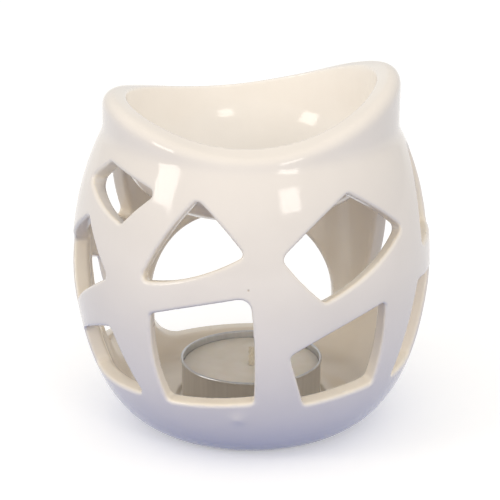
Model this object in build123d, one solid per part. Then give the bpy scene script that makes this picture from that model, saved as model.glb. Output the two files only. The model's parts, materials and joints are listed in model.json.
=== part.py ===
from build123d import *
from math import cos, radians, sin
import os

os.makedirs("parts", exist_ok=True)

# A ceramic essential oil burner: a pierced round pot, the oil dish that closes its top, and the tealight
# that stands inside. Millimetres and degrees. Z is up, the foot stands on Z = 0, the front faces -Y.
# An azimuth is counted from the front, positive towards +X.

# Pot
belly_radius = 48.0
belly_height = 45.4
foot_radius = 27.0
foot_lean = 26.0
neck_radius = 39.7
neck_height = 80.0
neck_lean = 22.0
wall = 4.5
foot_recess_radius = 21.5
foot_recess_depth = 0.8
seam_azimuth = 5.0

# Outline of the pot: shares of the way out from foot to belly and up to the belly,
# then shares of the way out from neck to belly and up from belly to neck
lower_outline_shares = [(0.14, 0.031), (0.50, 0.176), (0.85, 0.529)]
upper_outline_shares = [(0.905, 0.31), (0.69, 0.555)]

# Where along the outlines the rings lie that the pot's two faces are drawn through
ring_shares = [0.0, 0.03, 0.09, 0.18, 0.3, 0.44, 0.58, 0.72, 0.86, 1.0]
inner_ring_shares = [0.22, 0.3, 0.42, 0.54, 0.66, 0.78, 0.9]

# Floor and the seat that keeps a tealight in the middle
floor_height = 4.8
floor_radius = 24.6
seat_radius = 20.4
seat_depth = 1.2
seat_round = 0.7

# Windows
window_corner_radius = 1.3
window_edge_chamfer = 0.7
cut_overrun = 4.0

# Each window lists its corners clockwise, seen from outside: azimuth in degrees, height as a share of the
# neck's height, outward bow of the edge that follows as a share of its length, corner radius as a share of
# window_corner_radius
window_shares = {
    "upper_left": [(-61.6, 0.965, 0.0, 1.0), (-34.1, 0.921, 0.0, 1.0),
                   (-46.9, 0.808, 0.05, 1.0), (-72.4, 0.889, 0.0, 1.0)],
    "left": [(-66.2, 0.781, 0.0, 1.0), (-50.7, 0.6225, 0.0, 1.0),
             (-82.0, 0.4375, 0.0, 1.0), (-93.0, 0.61, 0.0, 1.0)],
    "lower_left": [(-79.0, 0.34, 0.04, 1.0), (-50.4, 0.451, 0.0, 1.0),
                   (-40.6, 0.235, 0.0, 1.0), (-75.0, 0.228, 0.0, 1.0)],
    "upper_front": [(-18.5, 0.916, 0.035, 1.0), (-2.3, 0.7625, 0.075, 1.0), (-35.7, 0.651, 0.035, 1.0)],
    "upper_right": [(34.6, 0.919, 0.014, 1.0), (56.6, 0.769, 0.05, 1.0),
                    (22.9, 0.6025, 0.04, 1.0), (9.9, 0.75, 0.03, 1.4)],
    "lower_front": [(-31.9, 0.544, 0.03, 1.0), (-0.7, 0.6275, 0.03, 2.2),
                    (0.4, 0.259, 0.0, 1.0), (-29.4, 0.235, 0.05, 1.0)],
    "lower_right": [(45.4, 0.55, 0.03, 1.0), (45.3, 0.26, -0.02, 1.0),
                    (18.4, 0.24, 0.013, 1.0), (12.5, 0.424, 0.06, 1.0)],
    "right": [(86.0, 0.9625, 0.0, 1.0), (97.0, 0.9125, 0.0, 1.0),
              (95.0, 0.675, 0.0, 1.0), (71.0, 0.669, 0.125, 1.0)],
    "low_right": [(65.0, 0.565, 0.0, 1.0), (88.0, 0.55, 0.0, 1.0),
                  (76.0, 0.2625, 0.0, 1.0), (57.3, 0.245, 0.03, 1.0)],
    "back_left": [(-118.5, 0.85, 0.0, 1.0), (-102.0, 0.86, 0.0, 1.0),
                  (-102.0, 0.70, 0.0, 1.0), (-130.0, 0.58, 0.0, 1.0)],
    "low_back_left": [(-114.0, 0.47, 0.0, 1.0), (-98.0, 0.53, 0.0, 1.0),
                      (-95.0, 0.24, 0.0, 1.0), (-117.0, 0.225, 0.0, 1.0)],
    "back_right": [(104.0, 0.66, 0.0, 1.0), (126.0, 0.63, 0.0, 1.0),
                   (129.0, 0.375, 0.0, 1.0), (108.0, 0.30, 0.0, 1.0)],
    "upper_back_right": [(112.0, 0.90, 0.0, 1.0), (138.0, 0.925, 0.0, 1.0),
                         (141.0, 0.74, 0.0, 1.0), (116.0, 0.77, 0.0, 1.0)],
    "upper_back": [(158.0, 0.90, 0.0, 1.0), (200.0, 0.915, 0.03, 1.0),
                   (216.0, 0.67, 0.03, 1.0), (160.0, 0.63, 0.0, 1.0)],
}

# Opening at the back, through which the tealight goes in
back_azimuth = 185.0
back_width = 52.0
sill_height = 10.7
back_top_height = 42.3
back_top_round = 20.0
back_sill_round = 8.5

# Oil dish: a collar that stands on the pot's neck, cut off along a saddle and rolled over, and the bowl in it
collar_radius = 39.0
collar_blend_height = 3.4
lip_thickness = 6.4
lip_round = 2.9
lip_rise = 8.7
lip_wave = 4.85
lip_tilt = 2.8
lip_turn = 6.3
bowl_top_rise = 4.0
bowl_depth = 21.0
bowl_floor = 4.0

# Tealight: pressed cup, wax, wick and the sustainer that holds the wick upright
cup_radius = 19.0
cup_height = 12.0
cup_sheet = 0.4
cup_base_round = 2.2
cup_bead = 0.4
wax_clearance = 0.1
wax_below_rim = 1.6
wax_dip = 0.6
sustainer_radius = 7.0
sustainer_sheet = 0.3
sustainer_neck_radius = 1.4
sustainer_neck_height = 4.0
wick_radius = 0.8
wick_above_wax = 5.0
wick_tip_round = 0.4
wick_clearance = 0.1

# Places that the pieces share
seat_floor = floor_height - seat_depth
lip_height = neck_height + lip_rise
bowl_top_height = neck_height + bowl_top_rise
neck_bore_radius = neck_radius - wall / cos(radians(neck_lean))
neck_slope = Vector(-sin(radians(neck_lean)), 0, cos(radians(neck_lean)))
upwards = Vector(0, 0, 1)
outwards = Vector(1, 0, 0)


def at(radius, height):
    """A point of a section, in the plane of X and Z."""
    return Vector(radius, 0, height)


def turned(edges):
    """Turn a closed section round the Z axis."""
    return revolve(make_face(edges), Axis.Z)


def disc(radius, low, high):
    """A cylinder round the Z axis between two heights."""
    return Pos(0, 0, low) * Cylinder(radius, high - low, align=(Align.CENTER, Align.CENTER, Align.MIN))


def outer_outline():
    """The pot's outer outline, from the foot to the neck."""
    lower = [
        at(foot_radius + out * (belly_radius - foot_radius), up * belly_height)
        for out, up in lower_outline_shares
    ]
    upper = [
        at(neck_radius + out * (belly_radius - neck_radius), belly_height + up * (neck_height - belly_height))
        for out, up in upper_outline_shares
    ]
    belly = at(belly_radius, belly_height)
    leave_foot = Vector(cos(radians(foot_lean)), 0, sin(radians(foot_lean)))
    ends = (leave_foot, neck_slope)
    return Spline(at(foot_radius, 0), *lower, belly, *upper, at(neck_radius, neck_height), tangents=ends)


outline = outer_outline()


def inner_outline():
    """The pot's inner outline, one wall inside the outer one, from the floor to the neck."""
    points = [at(floor_radius, floor_height)]
    for share in inner_ring_shares:
        along = outline % share
        points.append(outline @ share + Vector(-along.Z, 0, along.X) * wall)
    points.append(at(neck_bore_radius, neck_height))
    return Spline(*points, tangents=(outwards, neck_slope))


def drawn_through_rings(curve):
    """A solid of round section whose face is drawn smoothly through rings along the curve."""
    spots = [curve @ share for share in ring_shares]
    return Part() + Solid.make_loft([Wire.make_circle(spot.X, Plane(at(0, spot.Z))) for spot in spots])


def outline_share_at(height):
    """How far along the outer outline a height is reached, found by halving."""
    low, high = 0.0, 1.0
    while high - low > 1e-9:
        middle = (low + high) / 2
        if (outline @ middle).Z < height:
            low = middle
        else:
            high = middle
    return low


def wall_point(azimuth, height):
    """The point of the pot's outer face at an azimuth and a height."""
    radius = (outline @ outline_share_at(height)).X
    return Vector(radius * sin(radians(azimuth)), -radius * cos(radians(azimuth)), height)


def wall_plane(azimuth, height):
    """The plane that touches the pot's outer face there, with its X level and its Z pointing outwards."""
    along = outline % outline_share_at(height)
    level = Vector(cos(radians(azimuth)), sin(radians(azimuth)), 0)
    normal = Vector(along.Z * sin(radians(azimuth)), -along.Z * cos(radians(azimuth)), -along.X)
    return Plane(origin=wall_point(azimuth, height), x_dir=level, z_dir=normal)


def window_cutter(corners):
    """A knife cut square to the wall: the window's outline on the touching plane, pushed through the wall."""
    middle_azimuth = sum(row[0] for row in corners) / len(corners)
    middle_share = sum(row[1] for row in corners) / len(corners)
    plane = wall_plane(middle_azimuth, middle_share * neck_height)
    spots = []
    for azimuth, height_share, _, _ in corners:
        local = plane.to_local_coords(wall_point(azimuth, height_share * neck_height))
        spots.append(Vector(local.X, local.Y))
    edges = []
    for place, (_, _, bow_share, _) in enumerate(corners):
        start = spots[place]
        end = spots[(place + 1) % len(spots)]
        if bow_share:
            edges.append(SagittaArc(start, end, bow_share * (end - start).length))
        else:
            edges.append(Line(start, end))
    shape = make_face(edges)
    for spot, (_, _, _, corner_share) in zip(spots, corners):
        corner = shape.vertices().sort_by_distance(spot)[0]
        shape = fillet(corner, corner_share * window_corner_radius)
    half_width = max(spot.length for spot in spots)
    depth = wall + cut_overrun + half_width**2 / belly_radius
    return extrude(plane.offset(cut_overrun) * shape, amount=-depth - cut_overrun)


def back_cutter():
    """The opening for the tealight: a level cut with a flat sill and a broad round top."""
    shape = Rectangle(back_width, back_top_height - sill_height)
    sills = shape.vertices().sort_by(Axis.Y)[:2]
    shape = fillet(sills, back_sill_round)
    tops = shape.vertices().sort_by(Axis.Y)[-2:]
    shape = fillet(tops, back_top_round)
    level = Vector(cos(radians(back_azimuth)), sin(radians(back_azimuth)), 0)
    outward = Vector(sin(radians(back_azimuth)), -cos(radians(back_azimuth)), 0)
    middle = at(0, (sill_height + back_top_height) / 2)
    plane = Plane(origin=middle + outward * seat_radius, x_dir=level, z_dir=outward)
    return extrude(plane * shape, amount=belly_radius - seat_radius + cut_overrun)


def pierced_pot():
    """One slip-cast shell: floor with the tealight's seat, wall and neck, and all that is cut out of the wall."""
    shell = drawn_through_rings(outline) - drawn_through_rings(inner_outline())
    shell -= disc(seat_radius, seat_floor, floor_height + cut_overrun)
    seat_edge = shell.edges().filter_by(GeomType.CIRCLE).sort_by_distance(at(seat_radius, floor_height))[0]
    shell = fillet(seat_edge, seat_round)
    shell -= disc(foot_recess_radius, -cut_overrun, foot_recess_depth)
    shell = Rot(0, 0, seam_azimuth - 90) * shell
    for corners in window_shares.values():
        shell -= window_cutter(corners)
    shell -= back_cutter()
    wall_faces = shell.faces().sort_by(SortBy.AREA)[-2:]
    rims = [edge for face in wall_faces for wire in face.inner_wires() for edge in wire.edges()]
    return chamfer(rims, window_edge_chamfer)


def saddle_height(x, y):
    """Height of the lip's saddle: peaks to the right and left, the right one higher, and dips between them."""
    crest_radius = collar_radius - lip_thickness / 2
    turn = radians(lip_turn)
    across = (x * cos(turn) + y * sin(turn)) / crest_radius
    along = (y * cos(turn) - x * sin(turn)) / crest_radius
    return lip_height + lip_tilt * x / crest_radius + lip_wave * (across**2 - along**2)


def saddle_cutter():
    """The block above the lip: its underside is ruled between two straight edges, which makes the saddle."""
    half = belly_radius
    ceiling = lip_height + 2 * belly_radius
    turn = radians(lip_turn + 45)
    ends = []
    for forward in (-half, half):
        corners = []
        for sideways in (-half, half):
            x = forward * cos(turn) - sideways * sin(turn)
            y = forward * sin(turn) + sideways * cos(turn)
            corners.append(Vector(x, y, saddle_height(x, y)))
        first, second = corners
        ends.append(Wire.make_polygon([
            first, second, Vector(second.X, second.Y, ceiling), Vector(first.X, first.Y, ceiling)]))
    return Solid.make_loft(ends, ruled=True)


def oil_dish():
    """The bowl and its collar: turned with a tall collar, cut off along the saddle, the lip rolled over."""
    lip_bore = collar_radius - lip_thickness
    blank_top = lip_height + 2 * lip_wave + lip_tilt
    bowl_bottom = bowl_top_height - bowl_depth
    underside = bowl_bottom - bowl_floor
    collar_start = at(collar_radius, neck_height + collar_blend_height)
    edges = [
        Spline(at(neck_radius, neck_height), collar_start, tangents=(neck_slope, upwards)),
        Line(collar_start, at(collar_radius, blank_top)),
        Line(at(collar_radius, blank_top), at(lip_bore, blank_top)),
        Line(at(lip_bore, blank_top), at(lip_bore, bowl_top_height)),
        Spline(at(lip_bore, bowl_top_height), at(0, bowl_bottom), tangents=(-upwards, -outwards)),
        Line(at(0, bowl_bottom), at(0, underside)),
        Spline(at(0, underside), at(neck_bore_radius, neck_height), tangents=(outwards, upwards)),
        Line(at(neck_bore_radius, neck_height), at(neck_radius, neck_height)),
    ]
    dish = Rot(0, 0, seam_azimuth - 90) * turned(edges)
    dish -= saddle_cutter()
    crest = dish.faces().sort_by(Axis.Z)[-1]
    return fillet(crest.edges(), lip_round)


cup_rim = seat_floor + cup_height
cup_floor = seat_floor + cup_sheet
wax_edge = cup_rim - wax_below_rim
wax_middle = wax_edge - wax_dip


def base_rounded(solid, base_round):
    """Round the lowest edge of a turned piece."""
    return fillet(solid.edges().group_by(Axis.Z)[0], base_round)


def tealight_cup():
    """A cup pressed from thin sheet, with a rounded base and a beaded rim, standing in the pot's seat."""
    bore = cup_radius - cup_sheet
    outside = base_rounded(disc(cup_radius, seat_floor, cup_rim), cup_base_round)
    hollow = base_rounded(disc(bore, cup_floor, cup_rim + cut_overrun), cup_base_round - cup_sheet)
    bead = Pos(0, 0, cup_rim) * Torus(cup_radius, cup_bead)
    return outside - hollow + bead


def wick_sustainer():
    """A pressed disc on the cup's floor, with a neck that the wick stands in."""
    plate = disc(sustainer_radius, cup_floor, cup_floor + sustainer_sheet)
    neck = disc(sustainer_neck_radius, cup_floor, cup_floor + sustainer_neck_height)
    hole = disc(wick_radius + wick_clearance, cup_floor - cut_overrun, cup_rim)
    return plate + neck - hole


def tealight_wax():
    """The wax: poured round the sustainer and the wick, with a shallow dip towards the wick."""
    radius = cup_radius - cup_sheet - wax_clearance
    edges = [
        Line(at(0, cup_floor), at(radius, cup_floor)),
        Line(at(radius, cup_floor), at(radius, wax_edge)),
        Spline(at(radius, wax_edge), at(0, wax_middle), tangents=(-outwards, -outwards)),
        Line(at(0, wax_middle), at(0, cup_floor)),
    ]
    wax = base_rounded(turned(edges), cup_base_round - cup_sheet)
    plate_top = cup_floor + sustainer_sheet
    neck_top = cup_floor + sustainer_neck_height
    wax -= disc(sustainer_radius + wax_clearance, cup_floor - cut_overrun, plate_top + wax_clearance)
    wax -= disc(sustainer_neck_radius + wax_clearance, cup_floor, neck_top + wax_clearance)
    return wax - disc(wick_radius + wick_clearance, cup_floor, cup_rim)


def tealight_wick():
    """The wick: a round cotton cord from the cup's floor to above the wax."""
    wick = disc(wick_radius, cup_floor, wax_middle + wick_above_wax)
    return fillet(wick.edges().sort_by(Axis.Z)[-1], wick_tip_round)


pieces = {
    "pierced_pot": pierced_pot(),
    "oil_dish": oil_dish(),
    "tealight_cup": tealight_cup(),
    "tealight_wax": tealight_wax(),
    "tealight_wick": tealight_wick(),
    "wick_sustainer": wick_sustainer(),
}
for name, piece in pieces.items():
    export_step(piece, f"parts/{name}.step")
    print(name, round(piece.volume), "cubic mm")
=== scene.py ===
# %% [markdown]
# A glazed essential oil burner
#
# The burner is a round earthenware pot with windows cut through its wall, and a dish on top whose thick lip
# rises in two peaks. A tealight inside warms the oil. The measured solids come first: they are the frame
# that every piece of this scene is fitted to. The whole object could be modelled by eye instead, but then
# nothing would sit where it really sits.

# %% Load the measured frame
import json
from math import cos, pi, radians, sin

import bmesh
import bpy
import numpy as np
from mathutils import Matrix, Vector, noise

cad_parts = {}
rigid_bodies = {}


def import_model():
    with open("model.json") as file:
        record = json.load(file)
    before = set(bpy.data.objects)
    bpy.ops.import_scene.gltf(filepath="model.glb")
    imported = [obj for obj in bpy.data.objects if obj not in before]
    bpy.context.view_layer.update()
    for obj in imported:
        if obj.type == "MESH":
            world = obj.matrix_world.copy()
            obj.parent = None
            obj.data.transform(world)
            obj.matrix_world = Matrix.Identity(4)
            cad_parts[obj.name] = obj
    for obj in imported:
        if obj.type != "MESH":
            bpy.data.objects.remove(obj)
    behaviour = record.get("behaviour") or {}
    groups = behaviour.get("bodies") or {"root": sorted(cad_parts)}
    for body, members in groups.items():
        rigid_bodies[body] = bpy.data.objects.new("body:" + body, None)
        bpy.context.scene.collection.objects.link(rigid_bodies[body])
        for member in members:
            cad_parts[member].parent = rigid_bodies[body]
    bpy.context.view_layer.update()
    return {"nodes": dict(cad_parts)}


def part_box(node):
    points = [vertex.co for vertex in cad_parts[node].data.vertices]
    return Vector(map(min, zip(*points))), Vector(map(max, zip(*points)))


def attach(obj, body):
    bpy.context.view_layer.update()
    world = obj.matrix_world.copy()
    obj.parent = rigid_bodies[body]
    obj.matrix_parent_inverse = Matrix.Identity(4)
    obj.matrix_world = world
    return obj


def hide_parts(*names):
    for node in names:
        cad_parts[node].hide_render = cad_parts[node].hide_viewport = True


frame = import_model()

MM = 0.001

# %% [markdown]
# The camera
#
# A camera can be placed by eye until the outline fits, but a fit is surer when it is worked out: the height
# of the lens above the table shows in how round the rim's ellipse is, and its distance in how much the
# near side is larger than the far side. A long lens from half a metre gives both here. The camera looks at
# a point on the pot's axis, and a slight shift brings the pot to its place in the frame.

# %% Camera
camera_rise = 19.19
camera_distance = 548.4 * MM
camera_aim = Vector((0, 0, 46.6 * MM))
camera_sensor = 36.0
camera_lens = 147.0
camera_shift = -0.0025

camera_data = bpy.data.cameras.new("camera")
camera_data.sensor_width = camera_sensor
camera_data.lens = camera_lens
camera_data.shift_x = camera_shift
camera = bpy.data.objects.new("camera", camera_data)
bpy.context.scene.collection.objects.link(camera)
camera_back = Vector((0, -cos(radians(camera_rise)), sin(radians(camera_rise))))
camera.location = camera_aim + camera_back * camera_distance
camera.rotation_euler = (-camera_back).to_track_quat("-Z", "Y").to_euler()
bpy.context.scene.camera = camera
print("camera stands", round(camera.location.z / MM), "mm above the table")

# %% [markdown]
# Two small helpers for materials
#
# Colours are written as on a paint card, in sRGB hex, and Blender wants linear light, so one function turns
# one into the other. A second function adds a shader node, sets what the node is told and joins its inputs,
# so that a material reads as a list of steps. Nodes could be wired by hand in the editor, but a script can
# be read again later.

# %% Colour and node helpers
def linear(hex_colour):
    """Turn an sRGB hex colour into linear red, green, blue and alpha."""
    parts = [int(hex_colour[place:place + 2], 16) / 255 for place in (1, 3, 5)]
    light = [part / 12.92 if part <= 0.04045 else ((part + 0.055) / 1.055) ** 2.4 for part in parts]
    return (*light, 1.0)


def add_node(tree, kind, settings=None, links=None):
    """Add a node: settings fill its sockets or properties, links join its inputs to other sockets."""
    node = tree.nodes.new(kind)
    for name, value in (settings or {}).items():
        if not isinstance(name, str) or name in node.inputs:
            node.inputs[name].default_value = value
        else:
            setattr(node, name, value)
    for name, source in (links or {}).items():
        tree.links.new(source, node.inputs[name])
    return node


def new_material(name):
    """An empty node material, with the position on the piece and the output ready."""
    material = bpy.data.materials.new(name)
    material.use_nodes = True
    material.node_tree.nodes.clear()
    place = add_node(material.node_tree, "ShaderNodeTexCoord").outputs["Object"]
    output = add_node(material.node_tree, "ShaderNodeOutputMaterial")
    return material, material.node_tree, place, output


def tone_ramp(tree, source, stops):
    """A ramp of colours: each stop is a position and a hex colour."""
    node = add_node(tree, "ShaderNodeValToRGB", links={"Fac": source})
    ramp = node.color_ramp
    while len(ramp.elements) < len(stops):
        ramp.elements.new(1.0)
    for element, (position, hex_colour) in zip(ramp.elements, stops):
        element.position = position
        element.color = linear(hex_colour)
    return node.outputs["Color"]


print("ivory in linear light:", [round(part, 3) for part in linear("#eee6dc")[:3]])

# %% [markdown]
# Ivory glaze on slip-cast earthenware
#
# The pot is cast in a plaster mould, cut while the clay is damp, dried, fired, dipped in an opaque ivory
# glaze and fired again. The glaze melts to a layer of glass about half a millimetre thick. To the eye that
# gives a pale body colour under sharp reflections, faint clouds where the dip was thicker, a ripple like
# that of thick paint, and a few pin-holes where gas left the clay. On the knife-cut faces and inside the
# pot it runs thicker and looks more like cream, and there it is also painted lighter than the body: painted
# light for the light that reaches those faces less. The bowl is painted a little paler and less yellow, as
# painted light against the dim, warm light in it. A single flat colour would look like plastic, so each of
# these is a step below.

# %% Glaze material
cloud_size = 24 * MM
ripple_size = 7 * MM
ripple_height = 0.035 * MM
grain_size = 1.1 * MM
grain_height = 0.004 * MM
pinhole_spacing = 15 * MM
pinhole_radius = 0.45 * MM
pinhole_depth = 0.12 * MM
pot_middle = (0, 0, 46 * MM)
neck_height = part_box("pierced_pot")[1].z
neck_blend = 4 * MM
dish_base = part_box("oil_dish")[0].z
# How far a face is turned from straight outwards, as a cosine: where a tone begins and where it is full.
# The lighter cut, inner and bowl tones that these place are partly painted light.
cut_begins, cut_full = 0.7, 0.25
inside_begins, inside_full = -0.05, -0.4
pinhole_core_share = 0.3
smoothest_glaze, dullest_glaze = 0.06, 0.13
glaze_index = 1.5


def glazed_earthenware(name):
    """Opaque ivory glaze: clouds, creamier cut and inner faces, a paler bowl, ripple and pin-holes; painted
    light lightens the cut, inner and bowl faces.
    """
    material, tree, place, output = new_material(name)
    cloud = add_node(
        tree, "ShaderNodeTexNoise", {"Scale": 1 / cloud_size, "Detail": 3.0}, {"Vector": place})
    body_tone = tone_ramp(tree, cloud.outputs["Fac"], [(0.3, "#eee6dc"), (0.7, "#f3ebe1")])
    # The cut tone is the glaze's cream, painted lighter than the body as painted light on the cut and inner
    # faces
    cream_and_painted_light_tone = tone_ramp(tree, cloud.outputs["Fac"], [(0.3, "#f8ecd9"), (0.7, "#fdf4e4")])
    # The bowl tone is painted paler and less yellow than the body: painted light in the bowl
    bowl_painted_light_tone = tone_ramp(tree, cloud.outputs["Fac"], [(0.3, "#f4eee6"), (0.7, "#f9f4ed")])

    # Cut faces and the pot's inner faces don't look away from the middle of the pot; they get the cream
    # tone, painted lighter than the body as painted light
    from_middle = add_node(
        tree, "ShaderNodeVectorMath", {"operation": "SUBTRACT", 1: pot_middle}, {0: place})
    outward = add_node(
        tree, "ShaderNodeVectorMath", {"operation": "NORMALIZE"}, {0: from_middle.outputs[0]})
    facing = add_node(tree, "ShaderNodeNewGeometry").outputs["Normal"]
    along = add_node(
        tree, "ShaderNodeVectorMath", {"operation": "DOT_PRODUCT"}, {0: outward.outputs[0], 1: facing})
    cream_and_painted_light_share = add_node(
        tree, "ShaderNodeMapRange", {"From Min": cut_begins, "From Max": cut_full},
        {"Value": along.outputs["Value"]})
    height = add_node(tree, "ShaderNodeSeparateXYZ", links={0: place}).outputs["Z"]
    below_neck = add_node(
        tree, "ShaderNodeMapRange", {"From Min": neck_height, "From Max": neck_height - neck_blend},
        {"Value": height})
    cream_and_painted_light_share = add_node(
        tree, "ShaderNodeMath", {"operation": "MULTIPLY"},
        {0: cream_and_painted_light_share.outputs["Result"], 1: below_neck.outputs["Result"]})
    outer_tone = add_node(
        tree, "ShaderNodeMix", {"data_type": "RGBA"},
        {0: cream_and_painted_light_share.outputs[0], 6: body_tone, 7: cream_and_painted_light_tone})

    # The bowl's inside, and the top of the pot's wall round it, look towards the upright axis; they get the
    # paler tone, which is painted light
    level = add_node(tree, "ShaderNodeVectorMath", {"operation": "MULTIPLY", 1: (1, 1, 0)}, {0: place})
    from_axis = add_node(tree, "ShaderNodeVectorMath", {"operation": "NORMALIZE"}, {0: level.outputs[0]})
    away = add_node(
        tree, "ShaderNodeVectorMath", {"operation": "DOT_PRODUCT"}, {0: from_axis.outputs[0], 1: facing})
    inside_share = add_node(
        tree, "ShaderNodeMapRange", {"From Min": inside_begins, "From Max": inside_full},
        {"Value": away.outputs["Value"]})
    above_base = add_node(
        tree, "ShaderNodeMapRange", {"From Min": dish_base, "From Max": dish_base + neck_blend},
        {"Value": height})
    bowl_painted_light_share = add_node(
        tree, "ShaderNodeMath", {"operation": "MULTIPLY"},
        {0: inside_share.outputs["Result"], 1: above_base.outputs["Result"]})
    glaze_tone = add_node(
        tree, "ShaderNodeMix", {"data_type": "RGBA"},
        {0: bowl_painted_light_share.outputs[0], 6: outer_tone.outputs[2], 7: bowl_painted_light_tone})

    # Pin-holes: where a point of a loose net in space lies at the surface, each darkest at its core
    cells = add_node(tree, "ShaderNodeTexVoronoi", {"Scale": 1 / pinhole_spacing}, {"Vector": place})
    hole_edge = pinhole_radius / pinhole_spacing
    hole = add_node(
        tree, "ShaderNodeMapRange", {"From Min": hole_edge, "From Max": pinhole_core_share * hole_edge},
        {"Value": cells.outputs["Distance"]})
    speckled = add_node(
        tree, "ShaderNodeMix", {"data_type": "RGBA", 7: linear("#b39b7c")},
        {0: hole.outputs["Result"], 6: glaze_tone.outputs[2]})

    # The surface: a ripple, a fine grain and the pin-holes, one bump on the other
    ripple = add_node(
        tree, "ShaderNodeTexNoise", {"Scale": 1 / ripple_size, "Detail": 1.0}, {"Vector": place})
    grain = add_node(
        tree, "ShaderNodeTexNoise", {"Scale": 1 / grain_size, "Detail": 2.0}, {"Vector": place})
    bump = add_node(
        tree, "ShaderNodeBump", {"Distance": ripple_height, "Strength": 1.0},
        {"Height": ripple.outputs["Fac"]})
    bump = add_node(
        tree, "ShaderNodeBump", {"Distance": grain_height, "Strength": 1.0},
        {"Height": grain.outputs["Fac"], "Normal": bump.outputs["Normal"]})
    bump = add_node(
        tree, "ShaderNodeBump", {"Distance": pinhole_depth, "Strength": 1.0, "invert": True},
        {"Height": hole.outputs["Result"], "Normal": bump.outputs["Normal"]})
    rough = add_node(
        tree, "ShaderNodeMapRange", {"To Min": smoothest_glaze, "To Max": dullest_glaze},
        {"Value": cloud.outputs["Fac"]})
    glaze = add_node(
        tree, "ShaderNodeBsdfPrincipled", {"IOR": glaze_index},
        {"Base Color": speckled.outputs[2], "Roughness": rough.outputs["Result"],
         "Normal": bump.outputs["Normal"]})
    tree.links.new(glaze.outputs["BSDF"], output.inputs["Surface"])
    return material


ivory_glaze = glazed_earthenware("ivory_glazed_earthenware")
print(ivory_glaze.name, "has", len(ivory_glaze.node_tree.nodes), "nodes")

# %% [markdown]
# The glazed pot and dish as one skin
#
# On the real thing the dish is luted to the pot with slip, and the glaze runs over the joint, so no line
# shows. The two solids could be shown side by side with a good material, but their knife-cut edges would
# stay sharp. Here copies of both are joined, wrapped in one even net of small faces and relaxed a little:
# the net closes the joint and rounds every edge, as a sponge and the glaze do. The rolled lip is relaxed
# more than the windows, which are cut with a knife. Then the net is thinned out, because an even net spends
# most of its faces where nothing happens. At the end the skin gets the slight unevenness of hand work, and
# low on the front the small lump where the glaze ran. The foot stays flat.

# %% Glazed body
weld_distance = 0.001 * MM
net_size = 0.42 * MM
relax_steps = 2
lip_relax_steps = 8
kept_share = 0.22
hand_wave = 16 * MM
hand_height = 0.16 * MM
inward_share = 0.5
glaze_lump_place = np.array((-3.4, -41.5, 15.3)) * MM
glaze_lump_radius = 1.5 * MM
glaze_lump_height = 0.5 * MM


def joined_copy(name, nodes):
    """A new piece from copies of measured nodes, with their doubled points welded."""
    form = bmesh.new()
    for node in nodes:
        form.from_mesh(frame["nodes"][node].data)
    bmesh.ops.remove_doubles(form, verts=form.verts, dist=weld_distance)
    mesh = bpy.data.meshes.new(name)
    form.to_mesh(mesh)
    form.free()
    piece = bpy.data.objects.new(name, mesh)
    bpy.context.scene.collection.objects.link(piece)
    return piece


def settle(piece):
    """Turn the piece's modifiers into plain mesh."""
    evaluated = piece.evaluated_get(bpy.context.evaluated_depsgraph_get())
    mesh = bpy.data.meshes.new_from_object(evaluated)
    piece.modifiers.clear()
    piece.data = mesh


def finish_piece(piece, material, body, slot, *nodes):
    """Give a piece its material, tie it to its body and let it stand for its measured nodes."""
    piece.data.materials.clear()
    piece.data.materials.append(material)
    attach(piece, body)
    if nodes:
        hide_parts(*nodes)
    print(piece.name, "rides on", body)


def swell_by_hand(mesh):
    """Move the skin by a broad soft wave, mostly inwards, and raise the lump where the glaze ran."""
    points = np.zeros((len(mesh.vertices), 3), np.float32)
    normals = np.zeros_like(points)
    mesh.vertices.foreach_get("co", points.ravel())
    mesh.vertex_normals.foreach_get("vector", normals.ravel())
    swell = np.array([noise.noise(Vector(point) / hand_wave) for point in points])
    lifted = np.clip(points[:, 2] / hand_wave, 0, 1)
    from_lump = np.linalg.norm(points - glaze_lump_place, axis=1)
    lump = glaze_lump_height * np.exp(-(from_lump / glaze_lump_radius) ** 2)
    points += normals * (hand_height * (swell - inward_share) * lifted + lump)[:, None]
    mesh.vertices.foreach_set("co", points.ravel())
    mesh.update()


glazed_body = joined_copy("glazed_body", ["pierced_pot", "oil_dish"])
net = glazed_body.modifiers.new("net", "REMESH")
net.mode = "VOXEL"
net.voxel_size = net_size
settle(glazed_body)
lip_zone = glazed_body.vertex_groups.new(name="lip_zone")
lip_points = [point.index for point in glazed_body.data.vertices if point.co.z > neck_height]
lip_zone.add(lip_points, 1.0, "REPLACE")
relax = glazed_body.modifiers.new("relax", "SMOOTH")
relax.iterations = relax_steps
lip_relax = glazed_body.modifiers.new("lip_relax", "SMOOTH")
lip_relax.iterations = lip_relax_steps
lip_relax.vertex_group = "lip_zone"
thin_out = glazed_body.modifiers.new("thin_out", "DECIMATE")
thin_out.ratio = kept_share
settle(glazed_body)
swell_by_hand(glazed_body.data)
glazed_body.data.shade_smooth()
finish_piece(glazed_body, ivory_glaze, "burner", "pot_glaze", "pierced_pot", "oil_dish")
print("glazed body:", len(glazed_body.data.polygons), "faces")

# %% [markdown]
# The tealight
#
# A tealight is a cup pressed from thin aluminium, filled with paraffin wax round a cotton wick, which a
# small tinned disc holds upright. The measured cup and wax have the right shape, so they stay and only get
# their finish. The wick is a twist of three threads, so it is made again as three round threads wound
# round each other: a bump on a plain pin would not show the twist at its outline.

# %% Pressed aluminium, paraffin, cotton and tinned steel
draw_line = 1.5 * MM
draw_stretch = 0.05
draw_height = 0.004 * MM
wax_cloud = 6 * MM
wax_ripple = 3 * MM
wax_height = 0.05 * MM
wax_light_depth = 2.5 * MM
thread_fibre = 0.12 * MM
thread_height = 0.02 * MM


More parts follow.
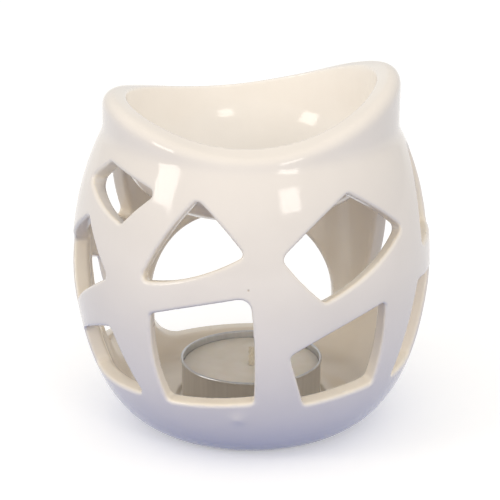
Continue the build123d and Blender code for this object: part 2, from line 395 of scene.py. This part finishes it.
def pressed_metal(name, hex_dark, hex_light, low_rough, high_rough):
    """Thin pressed sheet: bright metal with fine lines down the wall, left by the die."""
    material, tree, place, output = new_material(name)
    squeezed = add_node(
        tree, "ShaderNodeMapping", {"Scale": (1.0, 1.0, draw_stretch)}, {"Vector": place})
    lines = add_node(
        tree, "ShaderNodeTexNoise", {"Scale": 1 / draw_line, "Detail": 2.0},
        {"Vector": squeezed.outputs[0]})
    tone = tone_ramp(tree, lines.outputs["Fac"], [(0.3, hex_dark), (0.7, hex_light)])
    rough = add_node(
        tree, "ShaderNodeMapRange", {"To Min": low_rough, "To Max": high_rough},
        {"Value": lines.outputs["Fac"]})
    bump = add_node(
        tree, "ShaderNodeBump", {"Distance": draw_height, "Strength": 1.0},
        {"Height": lines.outputs["Fac"]})
    metal = add_node(
        tree, "ShaderNodeBsdfPrincipled", {"Metallic": 1.0},
        {"Base Color": tone, "Roughness": rough.outputs["Result"], "Normal": bump.outputs["Normal"]})
    tree.links.new(metal.outputs["BSDF"], output.inputs["Surface"])
    return material


def poured_paraffin(name):
    """Paraffin: light goes a few millimetres into it, and its skin is slightly dimpled."""
    material, tree, place, output = new_material(name)
    cloud = add_node(tree, "ShaderNodeTexNoise", {"Scale": 1 / wax_cloud, "Detail": 3.0}, {"Vector": place})
    tone = tone_ramp(tree, cloud.outputs["Fac"], [(0.3, "#ece5d6"), (0.7, "#f4eee2")])
    ripple = add_node(
        tree, "ShaderNodeTexNoise", {"Scale": 1 / wax_ripple, "Detail": 1.0}, {"Vector": place})
    bump = add_node(
        tree, "ShaderNodeBump", {"Distance": wax_height, "Strength": 1.0},
        {"Height": ripple.outputs["Fac"]})
    wax = add_node(
        tree, "ShaderNodeBsdfPrincipled",
        {"Roughness": 0.42, "IOR": 1.43, "Subsurface Weight": 0.5, "Subsurface Radius": (1.0, 0.8, 0.6),
         "Subsurface Scale": wax_light_depth},
        {"Base Color": tone, "Normal": bump.outputs["Normal"]})
    tree.links.new(wax.outputs["BSDF"], output.inputs["Surface"])
    return material


def spun_cotton(name):
    """Cotton thread: matt, with fine fibres along it."""
    material, tree, place, output = new_material(name)
    fibre = add_node(
        tree, "ShaderNodeTexNoise", {"Scale": 1 / thread_fibre, "Detail": 2.0}, {"Vector": place})
    tone = tone_ramp(tree, fibre.outputs["Fac"], [(0.3, "#d8ccb4"), (0.7, "#f0e8d8")])
    bump = add_node(
        tree, "ShaderNodeBump", {"Distance": thread_height, "Strength": 1.0},
        {"Height": fibre.outputs["Fac"]})
    cotton = add_node(
        tree, "ShaderNodeBsdfPrincipled", {"Roughness": 0.85, "Sheen Weight": 0.2},
        {"Base Color": tone, "Normal": bump.outputs["Normal"]})
    tree.links.new(cotton.outputs["BSDF"], output.inputs["Surface"])
    return material


pressed_aluminium = pressed_metal("pressed_aluminium", "#d2d3d5", "#dcdddf", low_rough=0.3, high_rough=0.36)
tinned_steel = pressed_metal("tinned_steel", "#a5a6a8", "#bcbdbf", low_rough=0.3, high_rough=0.45)
paraffin = poured_paraffin("poured_paraffin")
cotton = spun_cotton("spun_cotton")
print("tealight finishes:", pressed_aluminium.name, paraffin.name, cotton.name, tinned_steel.name)

# %% Finish the tealight's measured pieces
node_finishes = {
    "tealight_cup": pressed_aluminium,
    "tealight_wax": paraffin,
    "wick_sustainer": tinned_steel,
}
for node, material in node_finishes.items():
    piece = frame["nodes"][node]
    piece.data.materials.clear()
    piece.data.materials.append(material)
    piece.data.shade_smooth()
    print(node, "is finished in", material.name)

# %% Twisted wick
thread_count = 3
twist_pitch = 4.2 * MM
twist_points = 10
wick_low, wick_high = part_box("tealight_wick")
wick_radius = (wick_high.x - wick_low.x) / 2
thread_share = 0.52
thread_radius = wick_radius * thread_share
twist_radius = wick_radius - thread_radius


def twisted_wick():
    """Threads wound round each other along the measured wick, each a round curve."""
    curve = bpy.data.curves.new("twisted_wick", "CURVE")
    curve.dimensions = "3D"
    curve.bevel_depth = thread_radius
    curve.bevel_resolution = 3
    curve.use_fill_caps = True
    length = wick_high.z - wick_low.z
    steps = round(length / twist_pitch * twist_points)
    for thread in range(thread_count):
        spline = curve.splines.new("NURBS")
        spline.points.add(steps)
        for step, point in enumerate(spline.points):
            share = step / steps
            turn = 2 * pi * (share * length / twist_pitch + thread / thread_count)
            height = wick_low.z + share * length
            point.co = (twist_radius * cos(turn), twist_radius * sin(turn), height, 1)
        spline.use_endpoint_u = True
        spline.order_u = 3
    return bpy.data.objects.new("twisted_wick", curve)


wick = twisted_wick()
bpy.context.scene.collection.objects.link(wick)
finish_piece(wick, cotton, "tealight", "wick_cotton", "tealight_wick")

# %% [markdown]
# Table, light and surroundings
#
# The burner stands on a plain sheet in soft light that comes from all around. The sheet looks white to the
# lens and in reflections. Close to the pot it throws a bluish light up on the underside, as a blue cloth
# does, and farther out a greyer one. Two soft boxes make the highlights on the pot's shoulder: which way
# each one stands is worked out from where its highlight lies, because a mirror image leaves the glaze at
# the same angle as it arrives. A third box in front only fills the shade and stays out of the reflections.

# %% Table
sheet_half = 3.0
sheet_glow = 0.3
cloth_near = 70 * MM
cloth_far = 160 * MM
paper_grain = 2 * MM


def seen_rays(tree):
    """One for a ray from the lens, a reflection or clear glass, and zero for other light."""
    path = add_node(tree, "ShaderNodeLightPath")
    seen = path.outputs["Is Camera Ray"]
    for kind in ("Is Glossy Ray", "Is Transmission Ray"):
        larger = add_node(
            tree, "ShaderNodeMath", {"operation": "MAXIMUM"}, {0: seen, 1: path.outputs[kind]})
        seen = larger.outputs[0]
    return seen


def white_sheet(name):
    """White to the lens, with the burner's shadow; bluish in the light that it throws back."""
    material, tree, place, output = new_material(name)
    paper = add_node(tree, "ShaderNodeTexNoise", {"Scale": 1 / paper_grain}, {"Vector": place})
    white = tone_ramp(tree, paper.outputs["Fac"], [(0.0, "#eeeeee"), (1.0, "#f4f4f4")])
    pale = add_node(tree, "ShaderNodeBsdfDiffuse", links={"Color": white})
    glow = add_node(tree, "ShaderNodeEmission", {"Strength": sheet_glow})
    lifted = add_node(tree, "ShaderNodeAddShader", links={0: pale.outputs[0], 1: glow.outputs[0]})
    from_pot = add_node(tree, "ShaderNodeVectorMath", {"operation": "LENGTH"}, {0: place})
    far_share = add_node(
        tree, "ShaderNodeMapRange", {"From Min": cloth_near, "From Max": cloth_far},
        {"Value": from_pot.outputs["Value"]})
    cloth = tone_ramp(tree, far_share.outputs["Result"], [(0.0, "#114eb0"), (1.0, "#7c89a6")])
    bounce = add_node(tree, "ShaderNodeBsdfDiffuse", links={"Color": cloth})
    mixed = add_node(
        tree, "ShaderNodeMixShader",
        links={0: seen_rays(tree), 1: bounce.outputs[0], 2: lifted.outputs[0]})
    tree.links.new(mixed.outputs[0], output.inputs["Surface"])
    return material


sheet_mesh = bpy.data.meshes.new("table_sheet")
corners = [(-sheet_half, -sheet_half, 0), (sheet_half, -sheet_half, 0),
           (sheet_half, sheet_half, 0), (-sheet_half, sheet_half, 0)]
sheet_mesh.from_pydata(corners, [], [(0, 1, 2, 3)])
sheet_mesh.materials.append(white_sheet("white_sheet"))
table_sheet = bpy.data.objects.new("table_sheet", sheet_mesh)
bpy.context.scene.collection.objects.link(table_sheet)
print("table sheet is", 2 * sheet_half, "m wide")

# %% Soft boxes
light_distance = 0.75
light_aim = Vector((0, 0, 60 * MM))
# Each soft box: azimuth from the front, rise above the table, width and height in metres, watts, colour
soft_boxes = {
    "left_box": (-62, 24, 0.22, 0.24, 0.9, "#fff8ef"),
    "right_box": (27, 24, 0.17, 0.15, 0.42, "#fff8ef"),
    "front_fill": (8, 10, 0.8, 0.6, 1.7, "#fffaf4"),
}
hidden_in_glaze = ("front_fill",)
for name, (azimuth, rise, width, height, watts, hex_colour) in soft_boxes.items():
    data = bpy.data.lights.new(name, "AREA")
    data.shape = "RECTANGLE"
    data.size = width
    data.size_y = height
    data.energy = watts
    data.color = linear(hex_colour)[:3]
    lamp = bpy.data.objects.new(name, data)
    away = Vector((
        sin(radians(azimuth)) * cos(radians(rise)), -cos(radians(azimuth)) * cos(radians(rise)),
        sin(radians(rise))))
    lamp.location = light_aim + away * light_distance
    lamp.rotation_euler = away.to_track_quat("Z", "Y").to_euler()
    lamp.visible_glossy = name not in hidden_in_glaze
    bpy.context.scene.collection.objects.link(lamp)
    print(name, "gives", watts, "W")

# %% Surrounding light
world_light = 0.9
world = bpy.data.worlds.new("studio")
world.use_nodes = True
bpy.context.scene.world = world
sky = world.node_tree
sky.nodes.clear()
soft_light = add_node(sky, "ShaderNodeBackground", {"Color": linear("#f4f2ef"), "Strength": world_light})
white_room = add_node(sky, "ShaderNodeBackground", {"Strength": 1.0})
both = add_node(
    sky, "ShaderNodeMixShader",
    links={0: seen_rays(sky), 1: soft_light.outputs[0], 2: white_room.outputs[0]})
add_node(sky, "ShaderNodeOutputWorld", links={"Surface": both.outputs[0]})
bpy.context.scene.view_settings.view_transform = "Standard"
print("surrounding light:", world_light)

# %% [markdown]
# Finish
#
# The looks never change the size of the part.

# %% Finish
bpy.context.view_layer.update()
